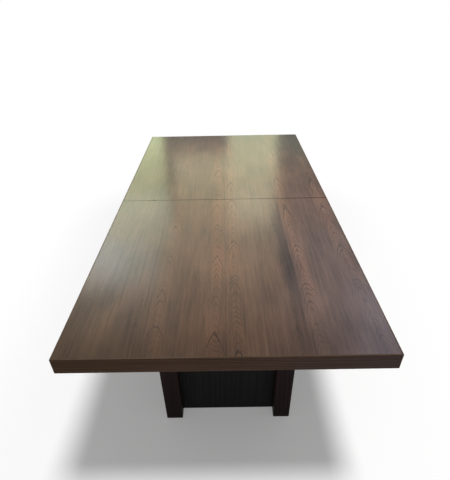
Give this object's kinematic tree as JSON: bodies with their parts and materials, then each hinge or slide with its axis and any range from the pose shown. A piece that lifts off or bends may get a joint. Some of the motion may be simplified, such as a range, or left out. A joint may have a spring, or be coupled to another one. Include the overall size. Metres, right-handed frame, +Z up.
{
  "type": "double pedestal dining table",
  "caption": "Dining table with a thick rectangular veneered top that parts at a middle seam on geared slides, standing on box pedestals with corner posts and recessed panels.",
  "frame": {"origin": "on the floor, under the middle of the closed top", "axes": "+X across the top, +Y along its length from the front half to the rear half, +Z up"},
  "size_m": [1.1, 2.1, 0.76],
  "materials": {
    "top_veneer": "dark-stained crown-cut ash veneer under satin lacquer",
    "edge_wood": "dark-stained solid lipping, satin lacquer",
    "post_wood": "reddish black-brown stained solid post, satin lacquer",
    "infill_black": "black-stained veneered panel, satin lacquer",
    "underside_wood": "stained softwood and plywood, not polished",
    "slide_wood": "waxed beech",
    "gear_nylon": "moulded nylon",
    "zinc_steel": "zinc-plated steel",
    "pin_brass": "turned brass",
    "glide_plastic": "black polyethylene"
  },
  "bodies": {
    "front_half": {"front_end_edging": "edge_wood", "front_end_rail": "underside_wood", "front_inner_infill": "infill_black", "front_inner_left_post": "post_wood", "front_inner_right_post": "post_wood", "front_left_edging": "edge_wood", "front_left_infill": "infill_black", "front_left_rail": "underside_wood", "front_outer_infill": "infill_black", "front_outer_left_post": "post_wood", "front_outer_right_post": "post_wood", "front_pedestal_board": "underside_wood", "front_pedestal_bolts": "zinc_steel", "front_pedestal_glides": "glide_plastic", "front_right_edging": "edge_wood", "front_right_infill": "infill_black", "front_right_rail": "underside_wood", "front_seam_batten": "underside_wood", "front_slide_screws": "zinc_steel", "front_top_panel": "top_veneer", "left_slide_front_rack": "gear_nylon", "left_slide_front_rail": "slide_wood", "lock_pivot_screws": "zinc_steel", "right_slide_front_rack": "gear_nylon", "right_slide_front_rail": "slide_wood", "seam_alignment_pins": "pin_brass"},
    "rear_half": {"left_slide_rear_rack": "gear_nylon", "left_slide_rear_rail": "slide_wood", "lock_keeper_studs": "zinc_steel", "rear_end_edging": "edge_wood", "rear_end_rail": "underside_wood", "rear_inner_infill": "infill_black", "rear_inner_left_post": "post_wood", "rear_inner_right_post": "post_wood", "rear_left_edging": "edge_wood", "rear_left_infill": "infill_black", "rear_left_rail": "underside_wood", "rear_outer_infill": "infill_black", "rear_outer_left_post": "post_wood", "rear_outer_right_post": "post_wood", "rear_pedestal_board": "underside_wood", "rear_pedestal_bolts": "zinc_steel", "rear_pedestal_glides": "glide_plastic", "rear_right_edging": "edge_wood", "rear_right_infill": "infill_black", "rear_right_rail": "underside_wood", "rear_seam_batten": "underside_wood", "rear_slide_screws": "zinc_steel", "rear_top_panel": "top_veneer", "right_slide_rear_rack": "gear_nylon", "right_slide_rear_rail": "slide_wood"},
    "left_slide_centre": {"left_slide_centre_rail": "slide_wood", "left_slide_pinion_axle": "zinc_steel"},
    "right_slide_centre": {"right_slide_centre_rail": "slide_wood", "right_slide_pinion_axle": "zinc_steel"},
    "left_pinion": {"left_slide_pinion": "gear_nylon"},
    "right_pinion": {"right_slide_pinion": "gear_nylon"},
    "left_lock": {"left_lock_hook": "zinc_steel"},
    "right_lock": {"right_lock_hook": "zinc_steel"}
  },
  "joints": [
    {"name": "top_extension", "type": "slide", "parent": "front_half", "child": "rear_half", "axis": [0, 1, 0], "range_m": [0, 0.5]},
    {"name": "left_slide_travel", "type": "slide", "parent": "front_half", "child": "left_slide_centre", "axis": [0, 1, 0], "range_m": [0, 0.25]},
    {"name": "left_pinion_turn", "type": "hinge", "parent": "left_slide_centre", "child": "left_pinion", "pos_m": [-0.395, 0, 0.7077], "axis": [0, 0, 1], "range_deg": [-800, 0]},
    {"name": "left_lock_swing", "type": "hinge", "parent": "front_half", "child": "left_lock", "pos_m": [-0.18, -0.0363, 0.7148], "axis": [0, 0, 1], "range_deg": [0, 90]},
    {"name": "right_slide_travel", "type": "slide", "parent": "front_half", "child": "right_slide_centre", "axis": [0, 1, 0], "range_m": [0, 0.25]},
    {"name": "right_pinion_turn", "type": "hinge", "parent": "right_slide_centre", "child": "right_pinion", "pos_m": [0.395, 0, 0.7077], "axis": [0, 0, 1], "range_deg": [-800, 0]},
    {"name": "right_lock_swing", "type": "hinge", "parent": "front_half", "child": "right_lock", "pos_m": [0.18, -0.0363, 0.7148], "axis": [0, 0, 1], "range_deg": [0, 90]}
  ],
  "couplings": [
    {"joint": "left_slide_travel", "follows": "top_extension", "ratio": 0.5},
    {"joint": "left_pinion_turn", "follows": "top_extension", "rad_per_m": -27.778},
    {"joint": "right_slide_travel", "follows": "top_extension", "ratio": 0.5},
    {"joint": "right_pinion_turn", "follows": "top_extension", "rad_per_m": -27.778}
  ]
}
